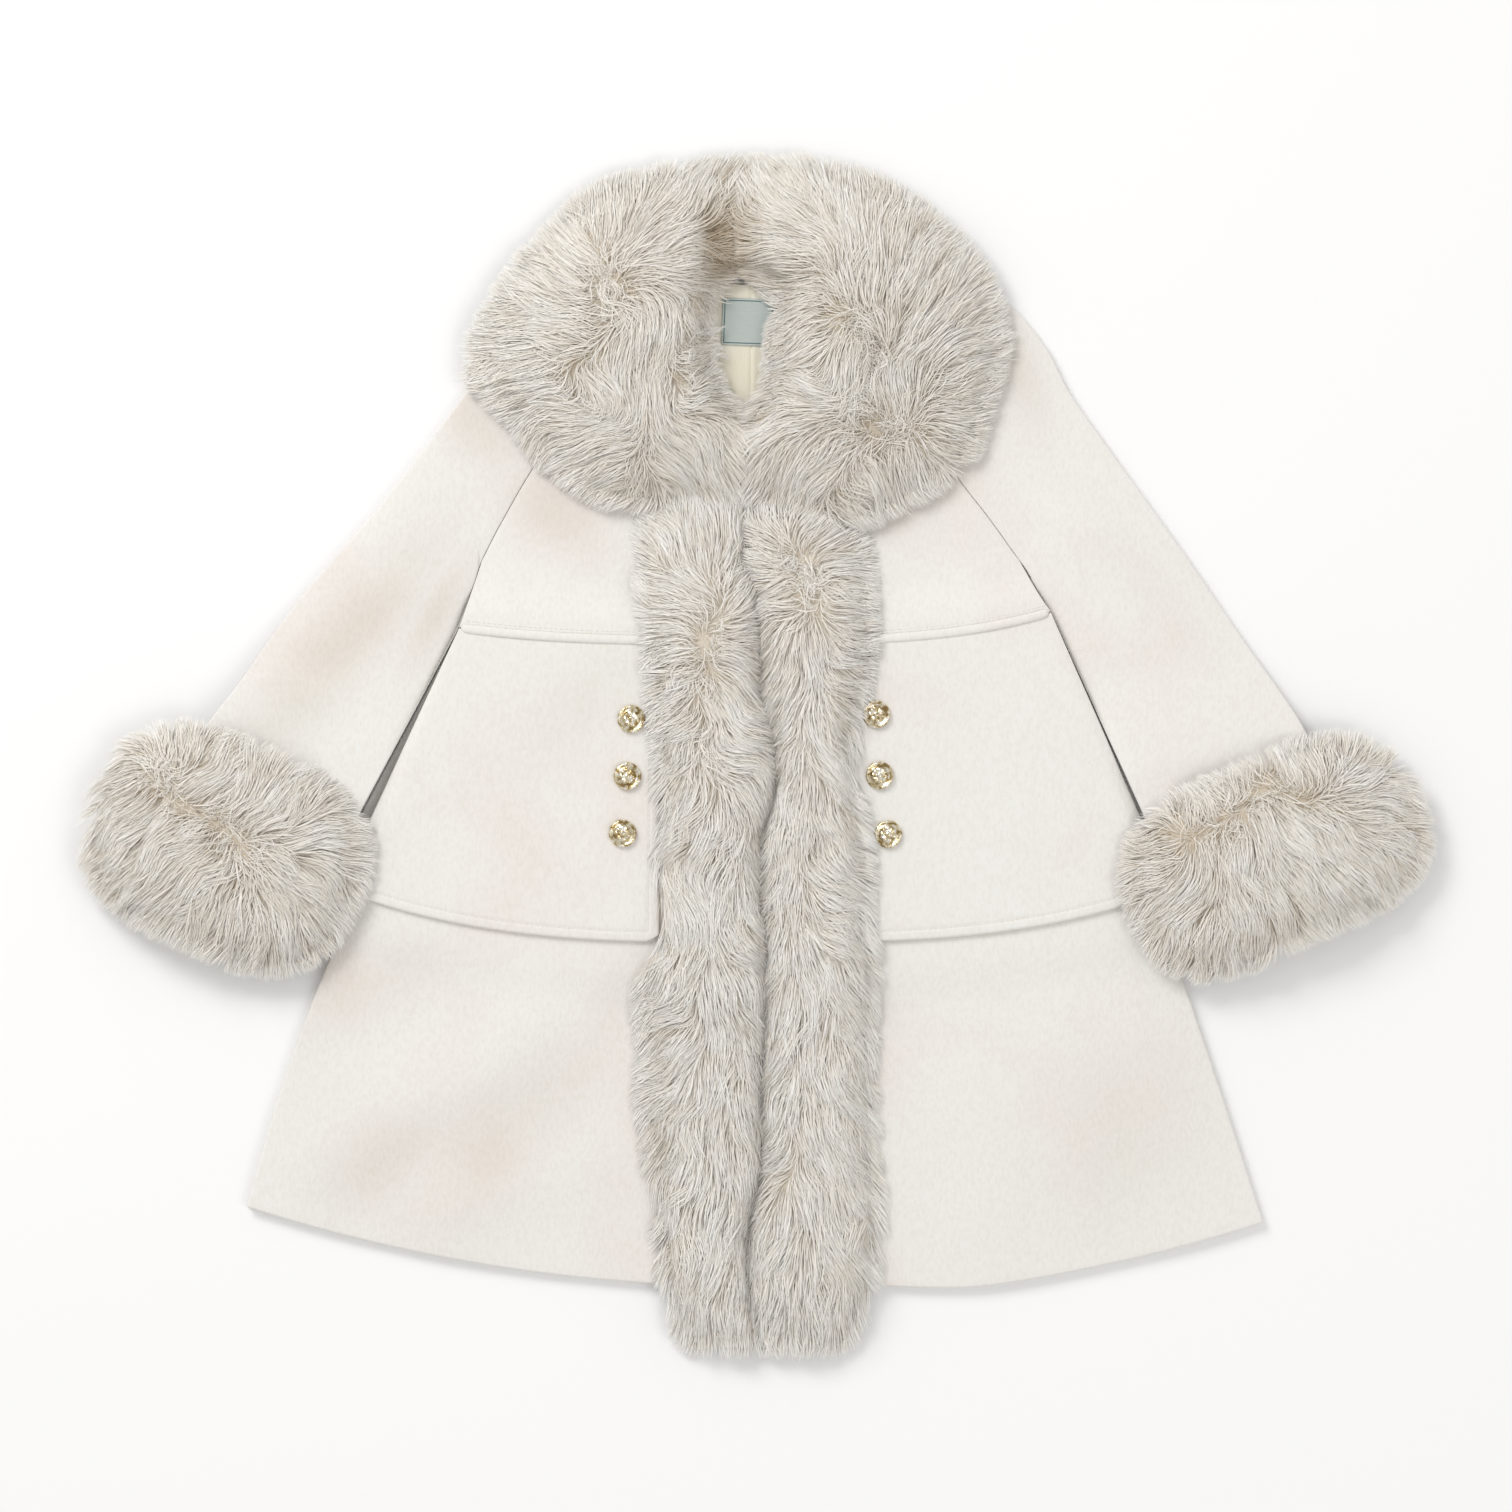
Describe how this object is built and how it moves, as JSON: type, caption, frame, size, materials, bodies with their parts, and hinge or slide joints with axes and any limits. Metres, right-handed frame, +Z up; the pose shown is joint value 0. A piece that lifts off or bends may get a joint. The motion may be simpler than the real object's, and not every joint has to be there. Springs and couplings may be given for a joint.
{
  "type": "child's wool coat with faux fur trim, laid flat",
  "caption": "Child's flared wool coat laid flat, with faux fur collar, front bands and cuffs, a hip-length tier and gilt buttons.",
  "frame": {"origin": "on the surface that the coat lies on, under the middle of its outline", "axes": "+X to the viewer's right across the spread sleeves, +Y from the hem to the collar, +Z up, off the surface"},
  "size_m": [0.8594, 0.7594, 0.0507],
  "materials": {
    "cream_wool": "brushed wool cloth, matt with a soft nap",
    "greige_fur": "long faux fur, pale at the tips and browner at the roots",
    "ivory_lining": "smooth satin lining",
    "label_tape": "woven tape, bare",
    "gold_metal": "polished gilt metal"
  },
  "bodies": {
    "root": {"back_tier": "cream_wool", "back_skirt": "cream_wool", "back_bodice": "cream_wool", "front_skirt_left": "cream_wool", "front_skirt_right": "cream_wool", "front_tier_left": "cream_wool", "front_tier_right": "cream_wool", "front_bodice_left": "cream_wool", "front_bodice_right": "cream_wool", "sleeve_back_left": "cream_wool", "sleeve_back_right": "cream_wool", "sleeve_front_left": "cream_wool", "sleeve_front_right": "cream_wool", "under_collar_left": "cream_wool", "under_collar_right": "cream_wool", "waist_welt_left": "cream_wool", "waist_welt_right": "cream_wool", "fur_collar_left": "greige_fur", "fur_collar_right": "greige_fur", "fur_band_left": "greige_fur", "fur_band_right": "greige_fur", "fur_cuff_left": "greige_fur", "fur_cuff_right": "greige_fur", "fur_cuff_under_left": "greige_fur", "fur_cuff_under_right": "greige_fur", "neck_lining": "ivory_lining", "label": "label_tape", "button_left_1": "gold_metal", "button_left_2": "gold_metal", "button_left_3": "gold_metal", "button_right_1": "gold_metal", "button_right_2": "gold_metal", "button_right_3": "gold_metal"}
  },
  "joints": []
}
